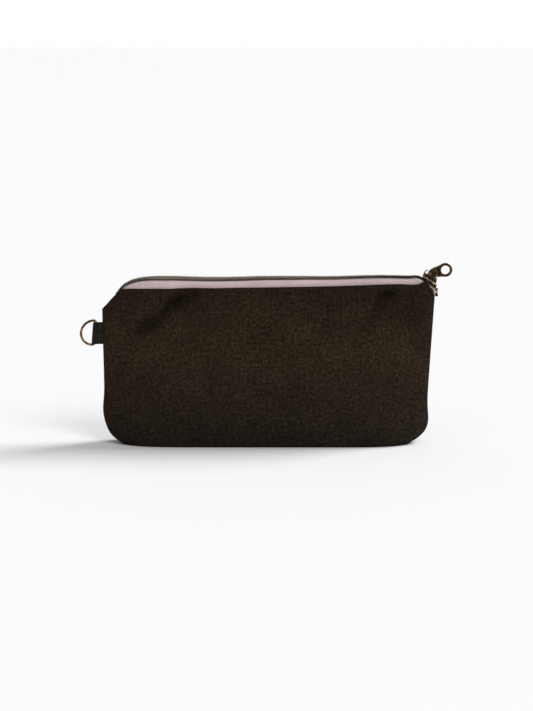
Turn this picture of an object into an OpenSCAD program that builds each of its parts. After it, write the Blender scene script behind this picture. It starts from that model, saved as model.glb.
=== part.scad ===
// A small zippered cloth pouch that stands on a boxed base.
// Origin: middle of the underside of the base. +X runs along the zipper
// towards its closed end, -Y is the front, +Z is up.

/* [Body] */
// Width across the side seams at the top
body_w = 206; // [190:1:222]
// Height of the side walls at the middle
wall_h = 97; // [90:1:100]
// Depth of the boxed base
base_d = 36; // [30:1:44]
// Depth across the top edges of the walls
top_d = 9.4; // [9:0.1:12]
// How far the left side leans in from its top to the base
left_lean = 1.5; // [0:0.1:4]
// How far the right side leans in from its top to the base
right_lean = 5.8; // [0:0.1:7]
// How far each end of the base stands in from the side above it
corner_in = 11; // [8:0.5:16]
// Outward bulge of each wall at half height
bulge = 3; // [1:0.5:5]

/* [Cloth] */
// Thickness of the outer canvas
canvas_t = 0.8; // [0.6:0.05:1]
// Thickness of the stiff interlining
stiffener_t = 0.5; // [0.4:0.05:0.6]
// Thickness of the lining
lining_t = 0.4; // [0.3:0.05:0.5]
// Height of the zipper tape hidden behind the top edge of a wall
tape_tuck = 6; // [4:0.5:8]
// Thickness of the zipper tape
tape_t = 0.34; // [0.25:0.01:0.36]

/* [Zipper] */
// Height of the middle of the chain along the level ridge
ridge_z = 103.5; // [103:0.1:106]
// Distance between two loops of one coil
pitch = 1.5; // [1.4:0.05:1.7]
// Height of a coil loop
loop_h = 1.5; // [1.3:0.05:1.6]
// Thickness of a coil loop along the chain
loop_t = 0.62; // [0.5:0.01:0.66]
// Slope of the chain at its left end
left_slope = 60; // [40:1:64]
// Slope of the chain inside the slider when the zipper is closed
slider_tilt = 22; // [10:1:24]

/* [Slider and pull] */
// Length of the slider
slider_l = 10.8; // [10:0.1:11.4]
// Half width of the slider where the two rows enter
slider_wide = 4.9; // [4.9:0.1:5.2]
// Half width of the slider where the closed chain leaves
slider_narrow = 3.4; // [3.4:0.1:3.6]
// Radius of the pin that the pull turns on
pin_r = 0.55; // [0.45:0.05:0.6]
// Outer radius of the ring at the end of the pull
donut_r = 4.3; // [3.8:0.1:4.5]
// Radius of the hole in the pull
donut_hole_r = 2.65; // [2.4:0.05:2.8]
// Distance from the pin to the middle of that hole
pull_reach = 9.5; // [9.2:0.1:11]
// Angle of the resting pull above level
pull_rest = 13.5; // [10:0.5:24]

/* [Tab and ring] */
// Height of the webbing tab
tab_h = 13; // [12:0.1:13.1]
// Height of the middle of the tab
tab_z = 69; // [60:0.5:75]
// Distance from the side seam to the ring's bar
tab_reach = 4.6; // [4.5:0.1:7]
// Thickness of one ply of the webbing
webbing_t = 0.8; // [0.6:0.05:0.9]
// Radius of the ring's wire
wire_r = 0.75; // [0.6:0.05:0.8]
// Radius of the ring's bow along the middle of the wire
bow_r = 7.55; // [7.5:0.05:8]

/* [Hidden] */

canvas_color = [0.17, 0.14, 0.1];
lining_color = [0.45, 0.4, 0.33];
stiffener_color = [0.85, 0.84, 0.8];
tape_color = [0.76, 0.68, 0.68];
teeth_color = [0.42, 0.36, 0.29];
brass_color = [0.45, 0.36, 0.2];
webbing_color = [0.16, 0.16, 0.14];
wire_color = [0.35, 0.24, 0.13];
thread_color = [0.2, 0.19, 0.16];

gap = 0.05;
seam_gap = 0.3;
base_t = 0.8;
wall_foot = base_t + 0.3;
stiffener_in = canvas_t + gap;
lining_in = stiffener_in + stiffener_t + gap;
stack_in = lining_in + lining_t;
stiffener_drop = tape_tuck + 1;

wall_columns = 40;
wall_rows = 12;

// ---- shape of the walls ----

// Eases from 0 to 1 while t goes from 0 to 1.
function ease(t) = let (c = min(1, max(0, t))) c * c * (3 - 2 * c);

// Closeness of height z to the base and to the top edge, from 1 down to 0.
function near_base(z) = exp(-z / 18);
function near_top(z) = exp(-max(0, wall_h - z) / 12);

// Distance of the side seam from the middle at height z, on the left (x < 0) or the right.
function half_w(z, x) =
    body_w / 2
    - (x < 0 ? left_lean : right_lean) * (1 - z / wall_h)
    - corner_in * exp(-z / 4.7);

// Half of the body's depth at height z, on the middle line.
function half_d(z) =
    (base_d + (top_d - base_d) * z / wall_h) / 2
    + bulge * sin(180 * z / wall_h)
    - 1.2 * exp(-z / 3);

// A wall is nearly a box at the base, a lens at half height and a thin box at the top.
function outline_power(z) = 2.6 + 5 * near_base(z) + 9 * near_top(z);
function end_power(z) = 0.85 - 0.35 * near_base(z) - 0.35 * near_top(z);

// Share of the depth that is left at fraction f of the half width.
function depth_share(f, z) = pow(max(0, 1 - pow(abs(f), outline_power(z))), end_power(z));

// A point of the front wall at column t from -1 to 1 and height z, set in by depth d.
function wall_point(t, z, d) = [
    (half_w(z, t) - d) * sin(90 * t),
    -seam_gap - (half_d(z) - d) * depth_share(sin(90 * t), z),
    z
];

// Height of the top edge of a wall above the place x.
function wall_top(x) = wall_h - 13 * ease((-x - 90) / 14) - 2.5 * ease((x - 56) / 34);

function column(i) = 2 * i / wall_columns - 1;

function wall_grid(d, drop) = [
    for (i = [0 : wall_columns])
        let (t = column(i), top = wall_top(body_w / 2 * sin(90 * t)) - drop)
            [
                for (j = [0 : wall_rows])
                    wall_point(t, wall_foot + (top - wall_foot) * pow(j / wall_rows, 1.3), d)
            ]
];

// ---- closed slab between two grids of points ----

function flat(grid) = [for (row = grid) for (p = row) p];

module slab(outer, inner) {
    n = len(outer);
    m = len(outer[0]);
    shift = n * m;
    quads = concat(
        [for (i = [0 : n - 2]) for (j = [0 : m - 2])
            [i * m + j, i * m + j + 1, (i + 1) * m + j + 1, (i + 1) * m + j]],
        [for (i = [0 : n - 2]) for (j = [0 : m - 2])
            [shift + i * m + j, shift + (i + 1) * m + j,
             shift + (i + 1) * m + j + 1, shift + i * m + j + 1]],
        [for (i = [0 : n - 2])
            [i * m, (i + 1) * m, shift + (i + 1) * m, shift + i * m]],
        [for (i = [0 : n - 2])
            [i * m + m - 1, shift + i * m + m - 1, shift + (i + 1) * m + m - 1, (i + 1) * m + m - 1]],
        [for (j = [0 : m - 2])
            [j, shift + j, shift + j + 1, j + 1]],
        [for (j = [0 : m - 2])
            [shift - m + j, shift - m + j + 1, 2 * shift - m + j + 1, 2 * shift - m + j]]
    );
    polyhedron(
        concat(flat(outer), flat(inner)),
        [for (q = quads) for (k = [1, 2]) [q[0], q[k], q[k + 1]]]
    );
}

module wall_layer(d, t, drop) {
    slab(wall_grid(d, drop), wall_grid(d + t, drop));
}

// ---- path of the zipper chain ----

half_pitch = pitch / 2;
left_straight = 1.5;
left_fade = 9;
left_flat_from = 16;
left_flat_over = 14;
bend_start = 183;
bend_l = 10;
slider_s = bend_start + bend_l + 4;
fold_start = slider_s + slider_l / 2 + 0.2;
fold_turn = 80;
fold_l = 2.5;
coil_end = fold_start + 3;
chain_l = fold_start + 6;

// Slope of the chain at arc length s.
function chain_slope(s) =
    left_slope * exp(-max(0, s - left_straight) / left_fade)
    * (1 - ease((s - left_flat_from) / left_flat_over))
    - slider_tilt * ease((s - bend_start) / bend_l)
    - fold_turn * ease((s - fold_start) / fold_l);

raw_chain = [
    for (i = 0, x = 0, z = 0;
         i * half_pitch <= chain_l;
         x = x + half_pitch * cos(chain_slope((i + 0.5) * half_pitch)),
         z = z + half_pitch * sin(chain_slope((i + 0.5) * half_pitch)),
         i = i + 1)
        [x, z, chain_slope(i * half_pitch)]
];
level_i = floor(bend_start / 2 / half_pitch);
slider_i = round(slider_s / half_pitch);
slider_x = 99.3;
chain = [
    for (p = raw_chain)
        [p[0] - raw_chain[slider_i][0] + slider_x, p[1] - raw_chain[level_i][1] + ridge_z, p[2]]
];
last_loop = floor(coil_end / half_pitch);

// How far the rows have parted at station i, from 0 (meshed) to 1.
function parted(i) = ease((i * half_pitch - slider_s + 3) / 5);
part_y = 1.85;

// Places its children at station i of the chain, with X along the chain.
module at_chain(i) {
    translate([chain[i][0], 0, chain[i][1]]) rotate([0, -chain[i][2], 0]) children();
}

// ---- base ----

function base_outline(d) = concat(
    [for (i = [0 : wall_columns]) let (p = wall_point(column(i), wall_foot, d)) [p[0], p[1]]],
    [for (i = [0 : wall_columns]) let (p = wall_point(-column(i), wall_foot, d)) [p[0], -p[1]]]
);

module base_layer(d, z, t) {
    translate([0, 0, z]) linear_extrude(height = t) polygon(base_outline(d));
}

module base_panel() {
    color(canvas_color) base_layer(0, 0, base_t);
}

module base_interlining() {
    color(stiffener_color) base_layer(stack_in + 0.35, base_t + gap, 1);
}

module base_lining() {
    color(lining_color) base_layer(stack_in + 0.35, base_t + 1 + 2 * gap, lining_t);
}

// ---- walls ----

module front_panel() {
    color(canvas_color) wall_layer(0, canvas_t, 0);
}

module front_interlining() {
    color(stiffener_color) wall_layer(stiffener_in, stiffener_t, stiffener_drop);
}

module front_lining() {
    color(lining_color) wall_layer(lining_in, lining_t, 0);
}

module back_panel() {
    mirror([0, 1, 0]) front_panel();
}

module back_interlining() {
    mirror([0, 1, 0]) front_interlining();
}

module back_lining() {
    mirror([0, 1, 0]) front_lining();
}

// ---- side seams ----

seam_w = 6;
seam_t = 0.4;
seam_low = 10;
seam_rows = 10;

module side_seam(side, top) {
    heights = [for (j = [0 : seam_rows]) seam_low + (top - seam_low) * j / seam_rows];
    outer = [for (z = heights) [side * (half_w(z, side) - 0.4), z]];
    inner = [for (j = [seam_rows : -1 : 0]) [side * (half_w(heights[j], side) - seam_w), heights[j]]];
    color(canvas_color)
        rotate([90, 0, 0])
            linear_extrude(height = seam_t, center = true) polygon(concat(outer, inner));
}

module left_side_seam() {
    side_seam(-1, 81);
}

module right_side_seam() {
    side_seam(1, 91);
}

// ---- zipper tapes ----

tape_under = loop_h / 2 + 0.1;
tape_edge_y = 0.8;
tape_turn_y = 3.8;
tape_in = stiffener_in + 0.15;
tape_least_drop = 1.9;
tape_x_low = -95;
tape_x_high = 98.5;

// Column of the wall at the place x.
function wall_column(x) = asin(x / (body_w / 2 - tape_in)) / 90;

// A point beside the chain at station i, y off the middle and n below the chain.
function beside_chain(i, y, n) = [
    chain[i][0] + n * sin(chain[i][2]),
    -y,
    chain[i][1] - n * cos(chain[i][2])
];

// One cross section of the front tape, from its edge by the coil to its hidden edge.
// skin is 0 on the outer face and the tape's thickness on the inner face.
function tape_section(i, skin) =
    let (
        x = min(tape_x_high, max(tape_x_low, chain[i][0])),
        t = wall_column(x),
        top = wall_top(x),
        out = parted(i)
    )
    [
        beside_chain(i, tape_edge_y + out * 1.1, tape_under + skin),
        beside_chain(i, tape_turn_y + out * 1.2 - skin, tape_under + skin),
        wall_point(t, min(top + 0.4, chain[i][1] - tape_least_drop), tape_in + skin),
        wall_point(t, top - tape_tuck, tape_in + skin)
    ];

tape_stations = [for (i = [2 : 4 : last_loop - 1]) i];

module front_zipper_tape() {
    color(tape_color)
        slab(
            [for (i = tape_stations) tape_section(i, tape_t)],
            [for (i = tape_stations) tape_section(i, 0)]
        );
}

module back_zipper_tape() {
    mirror([0, 1, 0]) front_zipper_tape();
}

// ---- coils ----

head_y = 0.25;
heel_y = -2.3;
strand_t = 0.44;
head_points = 8;

// A hairpin loop of the front coil, seen along the chain: two legs and a round head.
function arc_points(r, from, to) = [
    for (k = [0 : head_points])
        let (a = from + (to - from) * k / head_points)
            [head_y + r * cos(a), r * sin(a)]
];

loop_outline = concat(
    [[heel_y, -loop_h / 2]],
    arc_points(loop_h / 2, -90, 90),
    [[heel_y, loop_h / 2], [heel_y, loop_h / 2 - strand_t]],
    arc_points(loop_h / 2 - strand_t, 90, -90),
    [[heel_y, strand_t - loop_h / 2]]
);

module coil_loop() {
    rotate([90, 0, 90]) linear_extrude(height = loop_t, center = true) polygon(loop_outline);
}

module coil(first) {
    color(teeth_color)
        for (i = [first : 2 : last_loop])
            at_chain(i) translate([0, -part_y * parted(i), 0]) coil_loop();
}

module front_teeth() {
    coil(4);
}

module back_teeth() {
    mirror([0, 1, 0]) coil(5);
}

// ---- cords inside the coils ----

cord_r = 0.18;
cord_y = 1.4;

function cord_point(i, k) =
    let (a = 360 * k / 6, c = beside_chain(i, cord_y + part_y * parted(i) + cord_r * cos(a), cord_r * sin(a)))
        c;

cord_stations = [
    for (i = [4 : last_loop])
        if (i % 3 == 1 || i * half_pitch > fold_start - 1) i
];

module front_coil_cord() {
    rings = [for (i = cord_stations) [for (k = [0 : 5]) cord_point(i, k)]];
    n = len(rings);
    sides = [for (r = [0 : n - 2]) for (k = [0 : 5])
        [r * 6 + k, r * 6 + (k + 1) % 6, (r + 1) * 6 + (k + 1) % 6, (r + 1) * 6 + k]];
    faces = concat(
        [for (q = sides) for (k = [1, 2]) [q[0], q[k], q[k + 1]]],
        [for (k = [1 : 4]) [0, k + 1, k]],
        [for (k = [1 : 4]) [(n - 1) * 6, (n - 1) * 6 + k, (n - 1) * 6 + k + 1]]
    );
    color(thread_color) polyhedron(flat(rings), faces);
}

module back_coil_cord() {
    mirror([0, 1, 0]) front_coil_cord();
}

// ---- stops ----

stop_l = 1.6;
stop_h = loop_h + 0.2;

module bottom_stop() {
    color(brass_color)
        at_chain(1) translate([-stop_l / 2, -2.6, 0.05 - stop_h / 2]) cube([stop_l, 5.2, stop_h]);
}

module front_top_stop() {
    color(brass_color)
        at_chain(last_loop + 3)
            translate([-stop_l / 2, -part_y - 2.2, 0.05 - stop_h / 2]) cube([stop_l, 2.9, stop_h]);
}

module back_top_stop() {
    mirror([0, 1, 0]) front_top_stop();
}

// ---- slider ----

// Middle of the slider's channel, seen from the pin, along and square to the slider.
channel_u = 1.75;
channel_w = -5.6;
plate_t = 0.95;
channel_top = 0.95;
channel_low = -tape_under - tape_t - 0.17;
flange_low = -loop_h / 2 + 0.02;
flange_t = 0.6;
widen_from = -2.4;
widen_to = 1.4;
pin_fit = 0.05;
pin_x = slider_x - channel_u * cos(slider_tilt) - channel_w * sin(slider_tilt);
pin_z = chain[slider_i][1] + channel_u * sin(slider_tilt) - channel_w * cos(slider_tilt);

// Places its children on the pin, turned so that X runs along the slider.
module at_pin(angle) {
    translate([pin_x, 0, pin_z]) rotate([0, angle, 0]) children();
}

// Stands a flat outline up on edge: its X stays along, its Y points up, w wide.
module upright(w) {
    rotate([90, 0, 0]) linear_extrude(height = w, center = true) children();
}

// Outline of a slider plate, seen from above.
module plate_outline(narrow, wide) {
    r = 1.4;
    polygon([
        [r - slider_l / 2, -narrow], [widen_from, -narrow],
        [widen_to, -wide], [slider_l / 2 - r, -wide],
        [slider_l / 2, r - wide], [slider_l / 2, wide - r],
        [slider_l / 2 - r, wide], [widen_to, wide],
        [widen_from, narrow], [r - slider_l / 2, narrow],
        [-slider_l / 2, narrow - r], [-slider_l / 2, r - narrow]
    ]);
    for (side = [-1, 1]) {
        translate([slider_l / 2 - r, side * (wide - r)]) circle(r = r, $fn = 40);
        translate([r - slider_l / 2, side * (narrow - r)]) circle(r = r, $fn = 40);
    }
}

// The way through the slider, seen from above.
module channel_outline() {
    near = slider_narrow - flange_t;
    far = slider_wide - flange_t;
    polygon([
        [-slider_l, -near], [widen_from, -near], [widen_to, -far], [slider_l, -far],
        [slider_l, far], [widen_to, far], [widen_from, near], [-slider_l, near]
    ]);
}

module wedge() {
    translate([0, 0, channel_low - 0.1])
        linear_extrude(height = channel_top - channel_low + 0.2)
            polygon([[0.2, 0], [2.4, -0.7], [5, -0.7], [5.2, 0], [5, 0.7], [2.4, 0.7]]);
}

module slider_plates() {
    translate([0, 0, channel_top])
        linear_extrude(height = plate_t) plate_outline(slider_narrow, slider_wide);
    translate([0, 0, flange_low])
        linear_extrude(height = channel_top - flange_low + 0.1)
            difference() {
                plate_outline(slider_narrow, slider_wide);
                channel_outline();
            }
    translate([0, 0, channel_low - plate_t])
        linear_extrude(height = plate_t) plate_outline(slider_narrow - 0.3, slider_wide - 0.9);
    wedge();
}

crown_w = 2;
eye_u = -2.2;
eye_r = 1.5;
eye_hole_r = 0.95;
lug_r = 1.3;

module crown() {
    foot = channel_w + channel_top + plate_t - 0.1;
    difference() {
        upright(crown_w) {
            circle(r = lug_r, $fn = 48);
            translate([eye_u, 0]) circle(r = eye_r, $fn = 48);
            polygon([[-3.6, -0.5], [-2.4, -1.2], [-2.5, foot], [-3.7, foot]]);
            polygon([[-1, -0.8], [1, -0.8], [3.2, foot], [1.4, foot]]);
        }
        translate([eye_u, 0, 0]) rotate([90, 0, 0])
            cylinder(r = eye_hole_r, h = crown_w + 2, center = true, $fn = 40);
        rotate([90, 0, 0]) cylinder(r = pin_r + pin_fit, h = crown_w + 2, center = true, $fn = 40);
    }
}

module slider_body() {
    color(brass_color)
        at_pin(slider_tilt) {
            translate([channel_u, 0, channel_w]) slider_plates();
            crown();
        }
}

module crown_pin() {
    color(brass_color)
        at_pin(0) rotate([90, 0, 0]) cylinder(r = pin_r, h = 2 * cheek_out, center = true, $fn = 40);
}

// ---- pull ----

cheek_in = crown_w / 2 + 0.12;
cheek_out = 1.9;
cheek_l = 4.1;
slot_l = 3.9;
pull_t = 1.6;
neck = 3.2;

module cheeks() {
    difference() {
        upright(2 * cheek_out)
            polygon([
                [-1, -1.4], [0.4, -2.1], [cheek_l, -neck],
                [cheek_l, neck], [0.4, 2.1], [-1, 1.4]
            ]);
        translate([-2, -cheek_in, -4]) cube([slot_l + 2, 2 * cheek_in, 8]);
        rotate([90, 0, 0]) cylinder(r = pin_r + pin_fit, h = 6, center = true, $fn = 40);
    }
}

module pull_plate() {
    difference() {
        upright(pull_t) {
            polygon([
                [slot_l, -neck], [pull_reach - 0.6, 0.05 - donut_r],
                [pull_reach - 0.6, donut_r - 0.05], [slot_l, neck]
            ]);
            translate([pull_reach, 0]) circle(r = donut_r, $fn = 64);
        }
        translate([pull_reach, 0, 0]) rotate([90, 0, 0])
            cylinder(r = donut_hole_r, h = 4, center = true, $fn = 64);
    }
}

module pull_tab() {
    color(brass_color)
        at_pin(-pull_rest) {
            cheeks();
            pull_plate();
        }
}

// ---- webbing tab and ring ----

seam_x = -half_w(tab_z, -1) - seam_gap;
bar_x = seam_x - tab_reach;
fold_in = wire_r + 0.05;
fold_out = fold_in + webbing_t;
ply_y = webbing_t + 0.05;

module at_bar() {
    translate([bar_x, 0, tab_z]) children();
}

module tab_loop() {
    color(webbing_color)
        at_bar()
            difference() {
                union() {
                    cylinder(r = fold_out, h = tab_h, center = true, $fn = 48);
                    linear_extrude(height = tab_h, center = true)
                        polygon([
                            [0.3, -fold_out + 0.03], [2.4, -ply_y], [tab_reach, -ply_y],
                            [tab_reach, ply_y], [2.4, ply_y], [0.3, fold_out - 0.03]
                        ]);
                }
                cylinder(r = fold_in, h = tab_h + 2, center = true, $fn = 48);
            }
}

stitch_l = 1.7;
stitch_t = 0.3;
stitch_count = 5;

module tab_stitching() {
    step = tab_h / stitch_count;
    color(thread_color)
        at_bar()
            for (side = [-1, 1])
                for (i = [0 : stitch_count - 1])
                    translate([2.9, side * (ply_y + stitch_t / 2 + 0.01), (i + 0.5) * step - tab_h / 2])
                        cube([0.4, stitch_t, stitch_l], center = true);
}

bend_r = 1;

module wire_bend(r, turn) {
    rotate([90, 0, 0]) rotate_extrude(angle = turn, $fn = 96)
        translate([r, 0]) circle(r = wire_r, $fn = 40);
}

module d_ring() {
    bar_l = 2 * (bow_r - bend_r);
    color(wire_color)
        at_bar() {
            cylinder(r = wire_r, h = bar_l, center = true, $fn = 40);
            for (flip = [0, 1])
                mirror([0, 0, flip])
                    translate([-bend_r, 0, bar_l / 2]) wire_bend(bend_r, 90);
            translate([-bend_r, 0, 0]) rotate([0, -90, 0]) wire_bend(bow_r, 180);
        }
}

base_panel();
base_interlining();
base_lining();
left_side_seam();
right_side_seam();
front_panel();
front_interlining();
front_lining();
front_zipper_tape();
front_teeth();
front_coil_cord();
back_panel();
back_interlining();
back_lining();
back_zipper_tape();
back_teeth();
back_coil_cord();
bottom_stop();
front_top_stop();
back_top_stop();
slider_body();
crown_pin();
pull_tab();
tab_loop();
tab_stitching();
d_ring();
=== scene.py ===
"""Looks of a small zippered cloth pouch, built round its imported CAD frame.

Lengths in the code are millimetres until a mesh is made, and metres from there on.
X runs along the zipper, -Y is the front, Z is up, and z = 0 is the underside of the base.
"""

import math

import bmesh
import bpy
import numpy as np
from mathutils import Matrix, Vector, noise


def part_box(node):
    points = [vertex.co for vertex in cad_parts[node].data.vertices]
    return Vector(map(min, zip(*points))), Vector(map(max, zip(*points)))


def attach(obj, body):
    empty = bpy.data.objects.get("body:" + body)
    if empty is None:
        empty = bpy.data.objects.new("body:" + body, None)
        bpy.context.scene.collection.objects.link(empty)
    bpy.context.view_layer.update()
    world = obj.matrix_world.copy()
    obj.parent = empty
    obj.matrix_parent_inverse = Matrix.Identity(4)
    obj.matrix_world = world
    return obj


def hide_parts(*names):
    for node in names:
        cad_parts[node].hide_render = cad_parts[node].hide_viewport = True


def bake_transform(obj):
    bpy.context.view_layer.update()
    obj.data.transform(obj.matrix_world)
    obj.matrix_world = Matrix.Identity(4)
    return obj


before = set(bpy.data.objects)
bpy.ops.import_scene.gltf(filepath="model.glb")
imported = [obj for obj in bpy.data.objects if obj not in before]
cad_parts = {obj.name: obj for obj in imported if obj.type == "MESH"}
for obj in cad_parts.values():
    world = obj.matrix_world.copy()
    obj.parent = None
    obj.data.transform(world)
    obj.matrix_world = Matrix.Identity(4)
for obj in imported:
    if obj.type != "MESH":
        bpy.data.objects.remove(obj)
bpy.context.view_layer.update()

MM = 0.001

# ---- sizes shared with the CAD part ----

BODY_W = 206.0
WALL_H = 97.0
BASE_D = 36.0
TOP_D = 9.4
LEFT_LEAN = 1.5
RIGHT_LEAN = 5.8
CORNER_IN = 11.0
CORNER_H = 4.7
BULGE = 3.0
SEAM_HALF = 0.22
CANVAS_T = 0.75
STIFFENER_IN = 0.85
STIFFENER_T = 0.45
LINING_IN = 1.42
LINING_T = 0.38
TAPE_T = 0.3
TAPE_IN = 1.02
TAPE_TUCK = 3.4
TAPE_X = (-100.5, 101.0)
BESIDE_FROM = 186.0
BESIDE_TO = 204.0
BESIDE_Y = 5.05
MIDDLE_GAP = 0.06
BASE_WIDTH_Z = 1.1

RIDGE_Z = 103.5
PITCH = 1.5
HALF_PITCH = PITCH / 2
LEFT_SLOPE = 60.0
LEFT_STRAIGHT = 1.5
LEFT_FADE = 9.0
LEFT_FLAT_FROM = 16.0
LEFT_FLAT_OVER = 14.0
BEND_START = 185.0
BEND_L = 7.0
SLIDER_TILT = 22.0
NOSE_DOWN = 12.0
SLIDER_S = 197.0
SLIDER_L = 9.8
SLIDER_BACK = 0.45
SLIDER_X = 99.3
FOLD_START = SLIDER_S + 4.4
FOLD_TURN = 58.0
FOLD_L = 2.0
COIL_END = FOLD_START + 3
CHAIN_L = FOLD_START + 6
PART_Y = 1.85
LAST_LOOP = int(COIL_END / HALF_PITCH)

CHANNEL_U = 1.75
CHANNEL_W = -5.6
PLATE_T = 0.95
CHANNEL_TOP = 0.95
CHANNEL_LOW = -1.36
FLANGE_T = 0.6
SLIDER_NARROW = 3.4
SLIDER_WIDE = 4.9
WIDEN_FROM = -2.4
WIDEN_TO = 1.4
PIN_R = 0.55
PIN_HOLE_R = PIN_R + 0.05
PIN_SIDES = 28
CROWN_EYE_R = 0.95
RIDGE_T = 0.55
CROWN_RIDGES = ((-1.6, -0.2, 0.1), (1.9, 0.9, -0.2), (2.6, 3.7, -0.3))
CHEEK_IN = 1.12
CHEEK_OUT = 1.9
NECK = 3.2
DONUT_SWEEP = 118.0
STOP_L = 1.6
STOP_LOW = -0.8
STOP_HIGH = 0.9
PULL_REACH = 9.5
PULL_REST = 13.5
DONUT_R = 4.3
DONUT_HOLE_R = 2.65

TAB_Z = 69.0
SEAM_X = -102.867
BAR_X = -107.467
WIRE_R = 0.75
BOW_R = 7.55
BEND_R = 1.0
RING_LEAN = 0.085
WEBBING_T = 0.8


# ---- small helpers ----

def ease(t):
    t = np.clip(t, 0.0, 1.0)
    return t * t * (3 - 2 * t)


def bump(t, middle, width):
    return np.exp(-(((t - middle) / width) ** 2))


def unit(v):
    return v / np.maximum(np.linalg.norm(v, axis=-1, keepdims=True), 1e-9)


def wobble(x, z, size, seed):
    """Smooth noise from about -1 to 1, with features about size mm across."""
    flat_x, flat_z = np.ravel(x), np.ravel(z)
    values = [noise.noise(Vector((a / size, b / size, seed))) for a, b in zip(flat_x, flat_z)]
    return np.array(values).reshape(np.shape(x))


def make_object(name, verts, faces, material, uv=None, smooth=True):
    """A mesh object from millimetre points. uv holds one pair in metres for each point."""
    mesh = bpy.data.meshes.new(name)
    mesh.from_pydata((np.asarray(verts, float) * MM).tolist(), [], [list(map(int, f)) for f in faces])
    mesh.update()
    if uv is not None:
        layer = mesh.uv_layers.new(name="cloth")
        index = np.empty(len(mesh.loops), int)
        mesh.loops.foreach_get("vertex_index", index)
        layer.data.foreach_set("uv", np.asarray(uv, np.float32)[index].ravel())
    if smooth:
        mesh.shade_smooth()
    mesh.materials.append(material)
    obj = bpy.data.objects.new(name, mesh)
    bpy.context.scene.collection.objects.link(obj)
    return obj


def grid_faces(rows, columns, wrap_rows=False, wrap_columns=False, first=0):
    """Quads of a grid whose point (i, j) has the number first + i * columns + j."""
    i = np.arange(rows if wrap_rows else rows - 1)
    j = np.arange(columns if wrap_columns else columns - 1)
    i, j = np.meshgrid(i, j, indexing="ij")
    ni, nj = (i + 1) % rows, (j + 1) % columns
    quads = np.stack([i * columns + j, ni * columns + j, ni * columns + nj, i * columns + nj], -1)
    return quads.reshape(-1, 4) + first


def sheet_faces(n, m):
    """Faces of a sheet with thickness: two skins of n by m points, joined round their edges."""
    faces = [list(f) for f in grid_faces(n, m)] + [list(f)[::-1] for f in grid_faces(n, m, first=n * m)]
    for i in range(n - 1):
        for j in (0, m - 1):
            faces.append([i * m + j, (i + 1) * m + j, (n + i + 1) * m + j, (n + i) * m + j])
    for i in (0, n - 1):
        for j in range(m - 1):
            faces.append([i * m + j, i * m + j + 1, (n + i) * m + j + 1, (n + i) * m + j])
    return faces


def grid_normals(points):
    along = np.gradient(points, axis=0)
    up = np.gradient(points, axis=1)
    return unit(np.cross(along, up))


def sharpen(obj, degrees=38):
    obj.data.set_sharp_from_angle(angle=math.radians(degrees))


# ---- outline of the cloth body ----

LEFT_FULL = 1.25
RIGHT_FULL = 2.3
CHAMFER_HIGH = (-94.2, 92.8)
CHAMFER_IN = (0.742, -0.671)
EDGE_X = [-104.0, -102.6, -99.0, -94.2, -92.6, -91.0, -88.0, -84.0, -60.0, 0.0, 32.0, 60.0, 82.0, 87.0, 91.0,
    93.5,
          96.4, 97.9, 99.7, 101.9, 102.6, 104.0]
EDGE_Z = [82.4, 84.0, 88.0, 92.8, 94.5, 96.2, 96.6, 96.6, 96.8, 97.45, 97.95, 98.85, 99.45, 99.0, 99.3, 100.1,
          102.0, 99.7, 97.5, 95.2, 94.0, 92.6]


def top_edge(x):
    """Height of the cloth's top edge above the place x, with its corners rounded off."""
    reach = np.linspace(-0.6, 0.6, 5)
    return sum(np.interp(x + r, EDGE_X, EDGE_Z) for r in reach) / len(reach)


def half_width(z, x):
    lean = np.where(x < 0, LEFT_LEAN, RIGHT_LEAN)
    fuller = np.where(x < 0, LEFT_FULL * bump(z, 20, 9), RIGHT_FULL * bump(z, 10.5, 11))
    return BODY_W / 2 - lean * (1 - z / WALL_H) - CORNER_IN * np.exp(-z / CORNER_H) + fuller * ease(z / 2)


def half_depth(z):
    return (
        (BASE_D + (TOP_D - BASE_D) * z / WALL_H) / 2
        + BULGE * np.sin(np.pi * np.clip(z / WALL_H, 0, 1))
        - 1.2 * np.exp(-z / 3)
    )


def depth_share(f, z):
    """Share of the depth that is left at fraction f of the half width."""
    near_base = np.exp(-z / 18)
    near_top = np.exp(-np.maximum(0, WALL_H - z) / 12)
    power = 2.6 + 5 * near_base + 9 * near_top
    end = 0.85 - 0.35 * near_base - 0.35 * near_top
    return np.maximum(0, 1 - np.abs(f) ** power) ** end


def chamfer_share(x, z):
    """The two walls draw together along the sloping seam at the top left."""
    inside = (x - CHAMFER_HIGH[0]) * CHAMFER_IN[0] + (z - CHAMFER_HIGH[1]) * CHAMFER_IN[1]
    inside = inside + 3.2 * ease((x + 100.5) / 7)
    return np.clip(inside / 6.5, 0, 1) ** 0.45


def slider_flare(x, z):
    """The top edge stands a little further out beside the slider."""
    return 2.1 * bump(x, 95.5, 7.5) * ease((z - 86) / 12)


def wall_depth(x, z):
    """Distance of the wall's outer face from the middle plane."""
    f = np.clip(x / half_width(z, x), -1, 1)
    share = depth_share(f, z)
    return SEAM_HALF + half_depth(z) * share * chamfer_share(x, z) + slider_flare(x, z) * ease(share * 4)


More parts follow.
